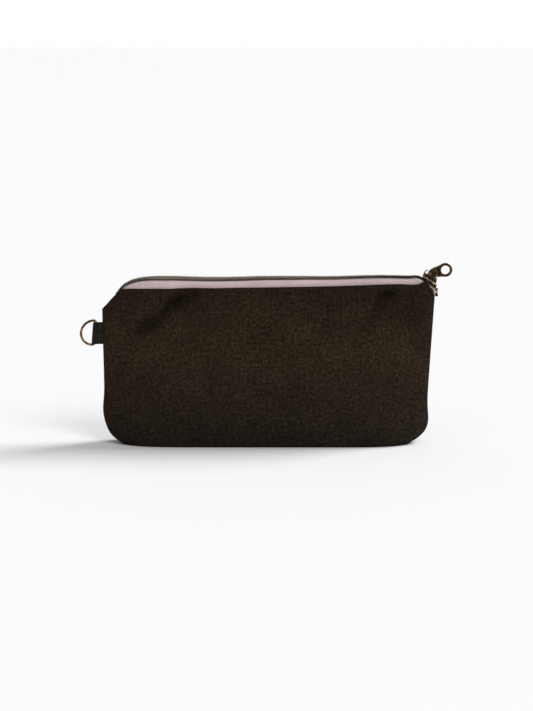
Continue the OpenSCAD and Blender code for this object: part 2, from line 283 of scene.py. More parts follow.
# Each dent: middle x and z, length, width, angle of its long way, depth (inwards is negative).
FRONT_DENTS = [
    (-53, 91.0, 9, 3.2, 24, -2.5), (-62, 84.5, 10, 3.4, 52, -2.2), (-74, 75, 9, 4.2, 38, -2.9),
    (-66, 91, 12, 3.5, 40, 1.2), (-83, 82, 12, 5, 42, 1.3), (-45, 85, 14, 5, 30, 1.0),
    (74, 93.5, 5, 2.4, 4, -2.8), (66, 83, 12, 4.0, 62, -1.4), (79, 87, 9, 3.2, 66, 1.3),
    (88, 82, 12, 4, 100, -0.9), (84, 91, 8, 3, 140, 0.6), (20, 90, 24, 5, 3, -0.6),
    (0, 60, 60, 22, 8, 0.7), (-40, 30, 34, 16, 160, 0.5), (52, 36, 40, 15, 15, 0.45),
    (-72, 46, 18, 8, 60, -0.7), (92, 40, 20, 6, 86, -0.6), (-94, 44, 22, 6, 94, -0.6),
]
BACK_DENTS = [
    (48, 90, 10, 4, 150, -1.1), (60, 80, 12, 5, 140, -1.0), (-68, 88, 10, 4, 40, -1.1),
    (-50, 91, 7, 3, 10, -0.8), (-78, 74, 13, 5, 60, 0.7), (0, 88, 30, 5, 176, -0.5),
    (30, 46, 46, 18, 170, 0.7), (-46, 36, 34, 15, 20, 0.6), (78, 50, 20, 8, 110, -0.6),
]


def dents(x, z, table):
    total = np.zeros_like(x)
    for cx, cz, length, width, angle, depth in table:
        c, s = math.cos(math.radians(angle)), math.sin(math.radians(angle))
        along, across = (x - cx) * c + (z - cz) * s, (z - cz) * c - (x - cx) * s
        total += depth * np.exp(-((along / length) ** 2) - (across / width) ** 2)
    return total


FOLD_LEAST = 0.8
FOLD_DEEPEST = 2.6


def painted_dent_shade(x, z, side):
    """How deep the place lies in a dent's hollow, from 0 to 1. The cloth colour is darkened there as painted
    shade.
    """
    table = [d for d in (FRONT_DENTS if side < 0 else BACK_DENTS) if d[5] < -FOLD_LEAST]
    return np.clip(-dents(x, z, table) / FOLD_DEEPEST, 0, 1)


def relief(x, z, side):
    """How far the cloth stands out from its plain shape: dents, slack, seam puckers."""
    table = FRONT_DENTS if side < 0 else BACK_DENTS
    seed = 3.1 if side < 0 else 8.7
    edge = half_width(z, x) - np.abs(x)
    from_top = top_edge(x) - z
    slack = 0.5 * wobble(x, z, 34, seed) + 0.22 * wobble(x, z, 13, seed + 5)
    fine = 0.07 * wobble(x, z, 4.5, seed + 9)
    pucker = 0.3 * wobble(x * 0.25, z, 3.6, seed + 20) * np.exp(-edge / 5)
    pull_in = 0.2 * wobble(x, z * 0.3, 4.2, seed + 30) * np.exp(-from_top / 4.5)
    foot = 0.28 * wobble(x, z * 0.4, 6.5, seed + 40) * np.exp(-z / 5)
    box_seam = -0.3 * bump(z, 4.6 + 0.4 * wobble(x, z, 5, seed), 0.9) * np.exp(-edge / 6) * ease(edge / 2.5)
    fade = ease(edge / 2.5) * ease(z / 2.5)
    held = ease(from_top / 3.0)
    return (dents(x, z, table) * ease(from_top / 2 + 0.35) + slack * held + fine) * fade \
        + (pucker + pull_in + foot) * ease(edge / 1.0) * ease(z / 1.2) + box_seam


# ---- wall layers ----

COLUMNS = 200
ROWS = 96
FOOT_Z = 0.35
ROLL = 5


def wall_surface(side, columns=COLUMNS, rows=ROWS, drop=0.0, foot=FOOT_Z, reach=1.0):
    """Outer face of one wall as a grid of points, from the left seam to the right and up."""
    u = np.linspace(-reach, reach, columns + 1)[:, None] * np.ones(rows + 1)
    v = (np.linspace(0, 1, rows + 1) ** 1.12)[None, :] * np.ones((columns + 1, 1))
    top = top_edge(BODY_W / 2 * np.sin(np.pi / 2 * u)) - drop
    z = foot + (top - foot) * v
    x = half_width(z, u) * np.sin(np.pi / 2 * u)
    plain = np.stack([x, side * wall_depth(x, z), z], -1)
    out = grid_normals(plain) * (1 if side < 0 else -1)
    return plain + out * relief(x, z, side)[..., None]


def cloth_uv(points, side):
    """Metres along the cloth and up it, measured at half height, so that the weave isn't stretched."""
    middle = points[:, points.shape[1] // 2]
    steps = np.linalg.norm(np.diff(middle, axis=0), axis=1)
    along = np.concatenate([[0], np.cumsum(steps)])
    up = np.concatenate(
        [np.zeros((len(points), 1)), np.cumsum(np.linalg.norm(np.diff(points, axis=1), axis=2), axis=1)], 1
    )
    return np.stack([np.broadcast_to(along[:, None], up.shape), up], -1) * MM + (0.4 if side > 0 else 0.0)


def shell_parts(points, depth_in, thickness, side, uv, roll=ROLL):
    """Outer face, rolled top edge and inner face as one grid that closes on itself."""
    out = grid_normals(points) * (1 if side < 0 else -1)
    outer = points - out * depth_in
    inner = outer - out * thickness
    rise = unit(points[:, -1] - points[:, -2])
    centre = (outer[:, -1] + inner[:, -1]) / 2
    angles = np.linspace(0, np.pi, roll + 2)[1:-1]
    rolled = np.stack(
        [centre + thickness / 2 * (math.cos(a) * out[:, -1] + math.sin(a) * rise) for a in angles], 1
    )
    rolled_uv = np.repeat(uv[:, -1:], roll, 1) + np.stack([np.zeros(roll), angles * thickness / 2 * MM],
        -1)[None]
    grid = np.concatenate([outer, rolled, inner[:, ::-1]], 1)
    grid[..., 1] = side * np.maximum(side * grid[..., 1], MIDDLE_GAP)
    uvs = np.concatenate([uv, rolled_uv, uv[:, ::-1] + [0, 0.004]], 1)
    return grid, uvs


def cloth_object(name, grid, uvs, rows, roll, material, side):
    n, m = grid.shape[:2]
    faces = [list(f) for f in grid_faces(n, m, wrap_columns=True)]
    for end, flip in ((0, False), (n - 1, True)):
        for j in range(rows):
            quad = [end * m + j, end * m + j + 1, end * m + m - 2 - j, end * m + m - 1 - j]
            faces.append(quad[::-1] if flip else quad)
        rim = [end * m + rows + k for k in range(roll + 2)]
        faces.append(rim[::-1] if flip else rim)
    if side > 0:
        faces = [f[::-1] for f in faces]
    obj = make_object(name, grid.reshape(-1, 3), faces, material, uvs.reshape(-1, 2))
    sharpen(obj, 60)
    return obj


def ride_wall(obj):
    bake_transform(obj)


def wall_layer(label, node, side, points, uv, depth_in, thickness, material):
    """One layer of a wall in two halves, split at the middle."""
    wall = "front_wall" if side < 0 else "back_wall"
    grid, uvs = shell_parts(points, depth_in, thickness, side, uv)
    # Painted shade: how deep each point lies in a dent's hollow, kept on the mesh as the 'fold' attribute
    # that darkens the cloth colour.
    depth = painted_dent_shade(grid[..., 0], grid[..., 2], side).astype(np.float32)
    half = len(points) // 2
    for left, part in ((True, slice(0, half + 1)), (False, slice(half, None))):
        name = f"{wall[:-5]}_{label}_{'left' if left else 'right'}"
        obj = cloth_object(name, grid[part], uvs[part], points.shape[1] - 1, ROLL, material, side)
        obj.data.attributes.new("fold", "FLOAT", "POINT").data.foreach_set("value", depth[part].ravel())
        ride_wall(obj)
        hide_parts(f"{wall[:-5]}_{node}")


# ---- tubes ----

def tube(points, radii, sides=8, closed=False):
    """Rings round a path, which either joins itself or has a cap at each end."""
    points = np.asarray(points, float)
    radii = np.broadcast_to(radii, len(points))
    ahead = np.roll(points, -1, 0) - np.roll(points, 1, 0)
    if not closed:
        ahead[0], ahead[-1] = points[1] - points[0], points[-1] - points[-2]
    ahead = unit(ahead)
    normal = np.cross(ahead[0], [0.3, 0.9, 0.1])
    rings = []
    angle = np.linspace(0, 2 * np.pi, sides, endpoint=False)
    for p, t, r in zip(points, ahead, radii):
        normal = normal - t * (normal @ t)
        normal = normal / np.linalg.norm(normal)
        other = np.cross(t, normal)
        rings.append(p + r * (np.cos(angle)[:, None] * normal + np.sin(angle)[:, None] * other))
    faces = [list(f) for f in grid_faces(len(rings), sides, wrap_rows=closed, wrap_columns=True)]
    if not closed:
        last = (len(rings) - 1) * sides
        faces.append(list(range(sides)))
        faces.append([last + k for k in range(sides)][::-1])
    return np.concatenate(rings), faces


def tube_uv(count, sides, length):
    v = np.repeat(np.linspace(0, length, count), sides)
    u = np.tile(np.arange(sides) / sides, count) * 0.002
    return np.stack([v * MM, u], -1)


def merge(parts):
    verts, faces, first = [], [], 0
    for v, f, *_ in parts:
        verts.append(np.asarray(v))
        faces += [[i + first for i in face] for face in f]
        first += len(v)
    return np.concatenate(verts), faces


# ---- path of the zipper chain ----

def chain_slope(s):
    return (
        LEFT_SLOPE * np.exp(-np.maximum(0, s - LEFT_STRAIGHT) / LEFT_FADE)
        * (1 - ease((s - LEFT_FLAT_FROM) / LEFT_FLAT_OVER))
        - (SLIDER_TILT + NOSE_DOWN) * ease((s - BEND_START) / BEND_L)
        - FOLD_TURN * ease((s - FOLD_START) / FOLD_L)
    )


CHAIN_S = np.arange(int(CHAIN_L / HALF_PITCH) + 1) * HALF_PITCH
_turn = np.radians(chain_slope(CHAIN_S[:-1] + HALF_PITCH / 2))
CHAIN_X = np.concatenate([[0], np.cumsum(HALF_PITCH * np.cos(_turn))])
CHAIN_Z = np.concatenate([[0], np.cumsum(HALF_PITCH * np.sin(_turn))])
CHAIN_X += SLIDER_X - CHAIN_X[round(SLIDER_S / HALF_PITCH)]
CHAIN_Z += RIDGE_Z - CHAIN_Z[int(BEND_START / 2 / HALF_PITCH)]

# How far the real ridge waves above and below a straight one, and how far its outer side hangs, along x.
LIFT_X = [-98.0, -93.5, -90.8, -88, -85.9, -80, -76, -67, -58, -42, -30, -18, -5, 19, 40, 57, 69, 80, 88, 95,
    104]
LIFT_Z = [-1.9, -1.7, -0.8, -0.5, -0.25, 0, 0, 0.3, 0.25, -0.25, -0.37, -0.2, 0.25, 0.25, 0.1, 0.6, 0.8, 0.6,
    0.35, 1.15, 1.15]
DROOP_X = [-95.0, -90, -82, -65, -40, 0, 20, 45, 60, 88, 94]
DROOP_Z = [0.15, 0.5, 1.1, 1.7, 1.5, 1.3, 1.05, 0.7, 0.5, 0.45, 0.0]


def smooth_interp(x, knots_x, knots_z, reach=2.5):
    return sum(np.interp(x + r, knots_x, knots_z) for r in np.linspace(-reach, reach, 7)) / 7


CHAIN_Z += smooth_interp(CHAIN_X, LIFT_X, LIFT_Z)


def on_chain(s, y, n):
    """Point at arc length s, y off the middle plane and n above the chain.

    The chain runs on straight past both ends.
    """
    s = np.asarray(s, float)
    slope = np.radians(chain_slope(s))
    x = np.interp(s, CHAIN_S, CHAIN_X) + np.minimum(0, s) * np.cos(slope)
    z = np.interp(s, CHAIN_S, CHAIN_Z) + np.minimum(0, s) * np.sin(slope)
    past = np.maximum(0, s - CHAIN_S[-1])
    x, z = x + past * np.cos(slope), z + past * np.sin(slope)
    return np.stack([x - n * np.sin(slope), y + 0 * s, z + n * np.cos(slope)], -1)


def parted(s):
    return ease((np.asarray(s, float) - SLIDER_S + 3) / 5)


def droop(s):
    """How far the outer side of a row hangs below its heads, away from the slider."""
    return smooth_interp(np.interp(np.asarray(s, float), CHAIN_S, CHAIN_X), DROOP_X, DROOP_Z)


# ---- materials ----

def new_material(name):
    material = bpy.data.materials.new(name)
    material.use_nodes = True
    tree = material.node_tree
    shader = next(n for n in tree.nodes if n.type == "BSDF_PRINCIPLED")
    return material, tree, shader


def add(tree, kind, inputs=None, **settings):
    made = tree.nodes.new(kind)
    for key, value in settings.items():
        setattr(made, key, value)
    for key, value in (inputs or {}).items():
        if isinstance(value, bpy.types.NodeSocket):
            tree.links.new(value, made.inputs[key])
        else:
            made.inputs[key].default_value = value
    return made


def maths(tree, operation, *values):
    made = add(tree, "ShaderNodeMath", operation=operation)
    for k, value in enumerate(values):
        if isinstance(value, bpy.types.NodeSocket):
            tree.links.new(value, made.inputs[k])
        else:
            made.inputs[k].default_value = value
    return made.outputs[0]


def remap(tree, value, low, high, to_low, to_high):
    made = add(tree, "ShaderNodeMapRange",
        {"From Min": low, "From Max": high, "To Min": to_low, "To Max": to_high})
    tree.links.new(value, made.inputs["Value"])
    return made.outputs["Result"]


def blend_colour(tree, factor, a, b, mode="MIX"):
    made = add(tree, "ShaderNodeMix", data_type="RGBA", blend_type=mode, clamp_factor=True)
    for socket, value in ((made.inputs[0], factor), (made.inputs[6], a), (made.inputs[7], b)):
        if isinstance(value, bpy.types.NodeSocket):
            tree.links.new(value, socket)
        else:
            socket.default_value = value if isinstance(value, (int, float)) else (*value, 1)
    return made.outputs[2]


def noise_at(tree, vector, scale, detail=2.0, rough=0.5, stretch=None):
    if stretch:
        vector = add(tree, "ShaderNodeVectorMath", {0: vector, 1: stretch}, operation="MULTIPLY").outputs[0]
    made = add(tree, "ShaderNodeTexNoise",
        {"Vector": vector, "Scale": scale, "Detail": detail, "Roughness": rough})
    return made.outputs[0]


def scale_colour(tree, colour, factor):
    """colour times a number, on every channel."""
    grey = add(tree, "ShaderNodeCombineColor", {"Red": factor, "Green": factor, "Blue": factor}).outputs[0]
    return blend_colour(tree, 1.0, colour, grey, "MULTIPLY")


def weave_height(tree, uv, pitch, wander=0.22):
    """A plain weave: two sets of round threads that pass over and under each other."""
    parts = add(tree, "ShaderNodeSeparateXYZ", {"Vector": uv})
    drift = remap(tree, noise_at(tree, uv, 260, 1), 0, 1, -wander, wander)
    a = maths(tree, "ADD", maths(tree, "MULTIPLY", parts.outputs[0], math.pi / pitch), drift)
    b = maths(tree, "ADD", maths(tree, "MULTIPLY", parts.outputs[1], math.pi / pitch), drift)
    sin_a, sin_b = maths(tree, "SINE", a), maths(tree, "SINE", b)
    over = maths(tree, "MULTIPLY", sin_a, sin_b)
    warp = maths(tree, "MULTIPLY", maths(tree, "ABSOLUTE", sin_a), remap(tree, over, -1, 1, 0.35, 1))
    weft = maths(tree, "MULTIPLY", maths(tree, "ABSOLUTE", sin_b), remap(tree, over, -1, 1, 1, 0.35))
    return maths(tree, "MAXIMUM", warp, weft)


def ribs(tree, value, pitch):
    """Round ridges a pitch apart along the value."""
    return maths(tree, "ABSOLUTE", maths(tree, "SINE", maths(tree, "MULTIPLY", value, math.pi / pitch)))


def uv_of(tree):
    return add(tree, "ShaderNodeUVMap", uv_map="cloth").outputs[0]


def set_bump(tree, shader, height, distance, strength):
    made = add(tree, "ShaderNodeBump", {"Height": height, "Distance": distance, "Strength": strength})
    tree.links.new(made.outputs[0], shader.inputs["Normal"])


def canvas_material(name, low, high, pitch=0.00056, lint=True):
    """Plain-weave canvas with slubs, mottling and a little lint, and painted shade: darker between the
    threads, in the dents' hollows and near the top edge, and darker and greyer near the floor.
    """
    material, tree, shader = new_material(name)
    uv = uv_of(tree)
    height = weave_height(tree, uv, pitch)
    slub_x = noise_at(tree, uv, 1.0, 3, 0.6, (110, 900, 0))
    slub_y = noise_at(tree, uv, 1.0, 3, 0.6, (900, 100, 3))
    slubs = maths(tree, "ADD", maths(tree, "MULTIPLY", slub_x, 0.5), maths(tree, "MULTIPLY", slub_y, 0.5))
    mottle = noise_at(tree, uv, 38, 4, 0.6)
    grain = noise_at(tree, uv, 520, 3, 0.65)
    rise = add(tree, "ShaderNodeSeparateXYZ", {"Vector": uv}).outputs[1]
    # Painted shade: darker, greyer cloth low on the wall, full tone from 60 mm up, then darker again towards
    # the top edge.
    tone = blend_colour(tree, remap(tree, rise, 0.0, 0.06, 0, 1), low, high)
    tone = scale_colour(tree, tone, remap(tree, rise, 0.06, 0.098, 1.0, 0.74))
    shade = maths(tree, "MULTIPLY", remap(tree, slubs, 0.32, 0.68, 0.58, 1.47),
        remap(tree, mottle, 0.25, 0.75, 0.76, 1.24))
    # Painted shade: the colour is darker where the weave's threads dip.
    shade = maths(tree, "MULTIPLY", shade, remap(tree, height, 0, 1, 0.55, 1.18))
    shade = maths(tree, "MULTIPLY", shade, remap(tree, grain, 0.3, 0.7, 0.38, 1.65))
    colour = scale_colour(tree, tone, shade)
    if lint:
        cells = add(tree, "ShaderNodeTexVoronoi", {"Vector": uv, "Scale": 150.0})
        near = maths(tree, "LESS_THAN", cells.outputs["Distance"], 0.035)
        chosen = maths(tree, "GREATER_THAN",
            add(tree, "ShaderNodeSeparateColor", {"Color": cells.outputs["Color"]}).outputs[0], 0.84)
        colour = blend_colour(tree, maths(tree, "MULTIPLY", maths(tree, "MULTIPLY", near, chosen), 0.5),
            colour, (0.3, 0.28, 0.25))
    # Painted shade: the colour darkens to 0.42 of itself in the dents' hollows.
    fold = add(tree, "ShaderNodeAttribute", attribute_name="fold").outputs["Fac"]
    colour = scale_colour(tree, colour, remap(tree, fold, 0, 1, 1, 0.42))
    tree.links.new(colour, shader.inputs["Base Color"])
    tree.links.new(remap(tree, slubs, 0.3, 0.7, 1.0, 0.88), shader.inputs["Roughness"])
    shader.inputs["Specular IOR Level"].default_value = 0.06
    relief_height = maths(tree, "ADD", height, maths(tree, "MULTIPLY", slubs, 1.2))
    set_bump(tree, shader, relief_height, 0.00012, 0.85)
    return material


def tape_material():
    """Knitted zipper tape: fine ribs along its length crossed by thread ends."""
    material, tree, shader = new_material("zipper_tape_ribbed")
    uv = uv_of(tree)
    parts = add(tree, "ShaderNodeSeparateXYZ", {"Vector": uv})
    rib = ribs(tree, parts.outputs[1], 0.00062)
    cross = ribs(tree, parts.outputs[0], 0.00075)
    knit = maths(tree, "MULTIPLY", rib, remap(tree, cross, 0, 1, 0.7, 1))
    mottle = noise_at(tree, uv, 60, 3)
    streak = noise_at(tree, uv, 1.0, 2, 0.5, (60, 900, 0))
    # Painted shade: the tape darkens from the coil down towards the cloth's edge, and is darker in the
    # grooves of the knit.
    tone = blend_colour(tree, remap(tree, parts.outputs[1], 0.0, 0.009, 0, 1), (0.70, 0.555, 0.565),
        (0.56, 0.415, 0.425))
    shade = maths(tree, "MULTIPLY", remap(tree, knit, 0, 1, 0.8, 1.06),
        remap(tree, mottle, 0.3, 0.7, 0.93, 1.07))
    shade = maths(tree, "MULTIPLY", shade, remap(tree, streak, 0.3, 0.7, 0.93, 1.07))
    tree.links.new(scale_colour(tree, tone, shade), shader.inputs["Base Color"])
    shader.inputs["Roughness"].default_value = 0.88
    shader.inputs["Specular IOR Level"].default_value = 0.3
    shader.inputs["Sheen Weight"].default_value = 0.2
    set_bump(tree, shader, knit, 0.00014, 0.8)
    return material


def metal_material(name, dark, bright, low, high, metallic, wear_and_light, clouds):
    """Plated metal: dark, made brighter by an attribute, by cloudy patches and by fine scratches."""
    material, tree, shader = new_material(name)
    place = add(tree, "ShaderNodeTexCoord").outputs["Object"]
    cloudy = noise_at(tree, place, 420, 4, 0.6)
    scratch = noise_at(tree, place, 1.0, 2, 0.6, (260, 2600, 2600))
    # The attribute is painted light on the coil, bright tops and dark undersides; on the plates it marks the
    # bevelled edges, rubbed bright, which also serve as painted highlights.
    edge = add(tree, "ShaderNodeAttribute", attribute_name="wear_and_light").outputs["Fac"]
    wear_and_light_mix = maths(tree, "ADD", maths(tree, "MULTIPLY", edge, wear_and_light),
        remap(tree, cloudy, 0.42, 0.62, -0.12, clouds))
    wear_and_light_mix = maths(tree, "ADD", wear_and_light_mix, remap(tree, scratch, 0.45, 0.7, 0.0, clouds * 0.5))
    tree.links.new(blend_colour(tree, wear_and_light_mix, dark, bright), shader.inputs["Base Color"])
    tree.links.new(remap(tree, wear_and_light_mix, 0, 1, high, low), shader.inputs["Roughness"])
    shader.inputs["Metallic"].default_value = metallic
    set_bump(tree, shader, maths(tree, "ADD", cloudy, maths(tree, "MULTIPLY", scratch, 0.4)), 0.00005, 0.5)
    return material


def webbing_material():
    """Ribbed grosgrain: threads across the tab's length."""
    material, tree, shader = new_material("webbing_rib")
    uv = uv_of(tree)
    parts = add(tree, "ShaderNodeSeparateXYZ", {"Vector": uv})
    rib = ribs(tree, parts.outputs[0], 0.0009)
    thread = ribs(tree, parts.outputs[1], 0.0006)
    height = maths(tree, "MULTIPLY", rib, remap(tree, thread, 0, 1, 0.75, 1))
    worn = noise_at(tree, uv, 320, 4, 0.6)
    streak = noise_at(tree, uv, 1.0, 2, 0.6, (1400, 160, 0))
    tone = blend_colour(tree, remap(tree, worn, 0.35, 0.68, 0, 1), (0.0050, 0.0048, 0.0036),
        (0.020, 0.0195, 0.0145))
    # Painted shade: the colour is darker in the grooves between the ribs.
    shade = maths(tree, "MULTIPLY", remap(tree, height, 0, 1, 0.6, 1.2),
        remap(tree, streak, 0.3, 0.7, 0.8, 1.25))
    tree.links.new(scale_colour(tree, tone, shade), shader.inputs["Base Color"])
    shader.inputs["Roughness"].default_value = 0.85
    shader.inputs["Specular IOR Level"].default_value = 0.15
    set_bump(tree, shader, height, 0.00022, 0.9)
    return material


FELT_COLOUR = (0.68, 0.67, 0.62)


def felt_material():
    """Pressed fibres of the stiffener."""
    material, tree, shader = new_material("interlining_felt")
    uv = uv_of(tree)
    fibres = noise_at(tree, uv, 700, 6, 0.7)
    clumps = noise_at(tree, uv, 90, 3)
    shade = maths(tree, "MULTIPLY", remap(tree, fibres, 0.3, 0.7, 0.85, 1.05),
        remap(tree, clumps, 0.3, 0.7, 0.94, 1.04))
    tree.links.new(scale_colour(tree, FELT_COLOUR, shade), shader.inputs["Base Color"])
    shader.inputs["Roughness"].default_value = 0.95
    set_bump(tree, shader, fibres, 0.0002, 0.7)
    return material


def thread_material(name, colour):
    material, tree, shader = new_material(name)
    uv = uv_of(tree)
    parts = add(tree, "ShaderNodeSeparateXYZ", {"Vector": uv})
    turns = maths(tree, "ADD", maths(tree, "MULTIPLY", parts.outputs[0], math.pi / 0.0005),
        maths(tree, "MULTIPLY", parts.outputs[1], math.pi / 0.001))
    ply = maths(tree, "ABSOLUTE", maths(tree, "SINE", turns))
    # Painted shade: the colour halves in the grooves of the twist.
    tone = blend_colour(tree, ply, tuple(c * 0.5 for c in colour), colour)
    tree.links.new(tone, shader.inputs["Base Color"])
    shader.inputs["Roughness"].default_value = 0.7
    set_bump(tree, shader, ply, 0.00005, 0.8)
    return material


CANVAS = canvas_material("canvas_plain_weave", (0.0155, 0.0115, 0.0085), (0.0275, 0.0180, 0.0100))
LINING = canvas_material("lining_cotton", (0.30, 0.27, 0.22), (0.34, 0.30, 0.24), 0.0004, lint=False)
FELT = felt_material()
TAPE = tape_material()
COIL = metal_material("coil_bronze", (0.004, 0.003, 0.0025), (0.42, 0.33, 0.22), 0.4, 0.55, 0.7, 1.0, 0.08)
BRASS = metal_material(
    "antique_brass", (0.020, 0.013, 0.008), (0.34, 0.24, 0.125), 0.32, 0.55, 0.95, 0.75, 0.16
)
DARK_BRASS = metal_material(
    "antique_brass_dark", (0.005, 0.004, 0.003), (0.50, 0.38, 0.22), 0.32, 0.6, 0.9, 1.2, 0.10
)
RING_WIRE = metal_material(
    "ring_bronze", (0.022, 0.014, 0.009), (0.42, 0.24, 0.095), 0.25, 0.42, 0.95, 0.4, 0.5
)
WEBBING = webbing_material()
THREAD = thread_material("stitch_thread", (0.045, 0.042, 0.034))
CORD = thread_material("coil_filler", (0.012, 0.010, 0.009))


# ---- cloth pieces ----

def build_walls():
    for side in (-1, 1):
        points = wall_surface(side)
        uv = cloth_uv(points, side)
        wall_layer("canvas", "panel", side, points, uv, 0.0, CANVAS_T, CANVAS)
        coarse = wall_surface(side, 160, 76, drop=1.2, foot=1.4, reach=0.88)
        coarse_uv = cloth_uv(coarse, side)
        wall_layer("lining", "lining", side, coarse, coarse_uv, LINING_IN, LINING_T, LINING)
        short = wall_surface(side, 120, 56, drop=7.5, foot=1.4, reach=0.86)
        wall_layer("interlining", "interlining", side, short, cloth_uv(short, side), STIFFENER_IN,
                   STIFFENER_T, FELT)


def base_ring(inset, z, count=120):
    """Outline of the base at height z, drawn in by inset."""
    u = np.linspace(-1, 1, count + 1)
    height = np.full(count + 1, BASE_WIDTH_Z)
    half = half_width(height, u) - inset
    x = half * np.sin(np.pi / 2 * u)
    y = np.maximum(0, half_depth(height) - inset) * depth_share(np.sin(np.pi / 2 * u), height)
    front = np.stack([x, -y, np.full_like(x, z)], -1)
    back = np.stack([x[::-1], y[::-1], np.full_like(x, z)], -1)
    return np.concatenate([front[:-1], back[:-1]])


def base_layer(name, levels, material, node):
    """A flat sheet from nested rings.

    levels are pairs of inset and height, from the middle of its underside and up round its rim.
    """
    rings = [base_ring(inset, z) for inset, z in levels]
    count = len(rings[0])
    verts = np.concatenate(rings)
    faces = [list(f)[::-1] for f in grid_faces(len(rings), count, wrap_columns=True)]
    for ring, flip in ((0, False), (len(rings) - 1, True)):
        half = count // 2
        for k in range(half):
            a, b = ring * count + k, ring * count + (k + 1) % count
            c, d = ring * count + (count - k - 1) % count, ring * count + (count - k) % count
            quad = [a, b, c, d] if k else [a, b, c]
            quad = [q for n, q in enumerate(quad) if q not in quad[:n]]
            if len(quad) > 2:
                faces.append(quad if flip else quad[::-1])
    obj = make_object(name, verts, faces, material, verts[:, :2] * MM + 0.9)
    bmesh_fix(obj)
    sharpen(obj, 50)
    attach(obj, "base")
    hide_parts(node)


def bmesh_fix(obj, weld=True):
    """Turns all faces outwards, and welds points that coincide."""
    bm = bmesh.new()
    bm.from_mesh(obj.data)
    if weld:
        bmesh.ops.remove_doubles(bm, verts=bm.verts, dist=1e-6)
    bmesh.ops.recalc_face_normals(bm, faces=bm.faces)
    bm.to_mesh(obj.data)
    bm.free()


def build_base():
    base_layer("base_canvas",
        [(2.4, 0.0), (1.2, 0.0), (0.75, 0.1), (0.5, 0.3), (0.45, 0.55), (0.7, 0.78), (2.4, 0.8)],
               CANVAS, "base_panel")
    base_layer("base_felt", [(4.2, 0.88), (2.5, 0.88), (2.3, 1.3), (2.5, 1.8), (4.2, 1.82)], FELT,
        "base_interlining")
    base_layer("base_cotton", [(4.2, 1.9), (2.4, 1.9), (2.25, 2.1), (2.4, 2.3), (4.2, 2.3)], LINING,
        "base_lining")


def build_side_seams():
    """The turned-in seam allowances that fill the slit between the two walls."""
    for sign, name, top in ((-1, "left_side_seam", 79.0), (1, "right_side_seam", 90.0)):
        z = np.linspace(9.5, top, 70)
        edge = half_width(z, np.full_like(z, sign))
        ripple = 0.1 * np.sin(z * 1.9) + 0.08 * np.sin(z * 0.7 + 1)
        across = np.array([[0.45, 0.0], [0.6, 0.13], [1.5, 0.17], [6.0, 0.17],
                           [6.2, 0.0], [6.0, -0.17], [1.5, -0.17], [0.6, -0.13]])
        x = sign * (edge[:, None] - across[None, :, 0] + 0.25 * ripple[:, None])
        y = np.broadcast_to(across[:, 1], x.shape)
        rings = np.stack([x, y, np.broadcast_to(z[:, None], x.shape)], -1)
        faces = [list(f) for f in grid_faces(len(z), len(across), wrap_columns=True)]
        last = (len(z) - 1) * len(across)
        faces += [list(range(len(across)))[::-1], [last + k for k in range(len(across))]]
        round_it = np.tile(np.arange(len(across)) * 1.3 * MM, len(z))
        uv = np.stack([round_it, np.repeat(z * MM, len(across))], -1) + 1.5
        obj = make_object(name + "_allowance", rings.reshape(-1, 3), faces, CANVAS, uv)
        bmesh_fix(obj)
        sharpen(obj, 50)
        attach(obj, "base")
        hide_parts(name)


# ---- zipper ----

def inner_depth(x, z, side):
    """How far from the middle plane the tape lies where it is sewn behind the cloth."""
    x, z = np.array([x]), np.array([z])
    return max(0.35, float((wall_depth(x, z) + relief(x, z, side))[0]) - TAPE_IN)


def tape_section(s, side):
    """Points of one tape from under the coil, over its turn and down behind the cloth's edge."""
    out = float(parted(s))
    early = float(ease((s + 6) / 9))
    hang = float(droop(s))
    start = on_chain(s, 0.0, -0.86 - 0.15 * hang)
    sunk = on_chain(s, 0.0, -0.9 - 1.2 * hang)
    x = float(np.clip(start[0], *TAPE_X))
    top = float(top_edge(np.array([x]))[0])
    low = top - TAPE_TUCK
    inner, inner_low = inner_depth(x, top - 0.3, side), inner_depth(x, low, side)
    y0 = (0.5 + 1.1 * out) * early + 0.08
    beside = float(ease((s - BESIDE_FROM) / 5) * (1 - ease((s - BESIDE_TO) / 4)))
    y1 = max(y0 + 0.2, min(3.1, inner * 0.86) * early + 1.2 * out + 0.1) * (1 - beside) + BESIDE_Y * beside
    first = np.array([start[0], y0, start[2]])
    turn = np.array([sunk[0], y1, sunk[2]])
    edge = np.array([x, inner, top - 0.2])
    hidden = np.array([x, inner_low, low])
    points = [first + (turn - first) * t for t in (0, 0.35, 0.65)]
    for t in (0.1, 0.3, 0.5, 0.7, 0.9):
        a, b = first * 0.35 + turn * 0.65, turn * 0.55 + edge * 0.45
        points.append(a * (1 - t) ** 2 + 2 * turn * t * (1 - t) + b * t * t)
    points += [turn * (1 - t) + edge * t for t in (0.6, 0.8, 1.0)]
    half_way = np.array([x, inner_depth(x, (top + low) / 2, side), (top + low) / 2])
    points += [half_way, hidden]
    return np.array(points) * [1, side, 1]


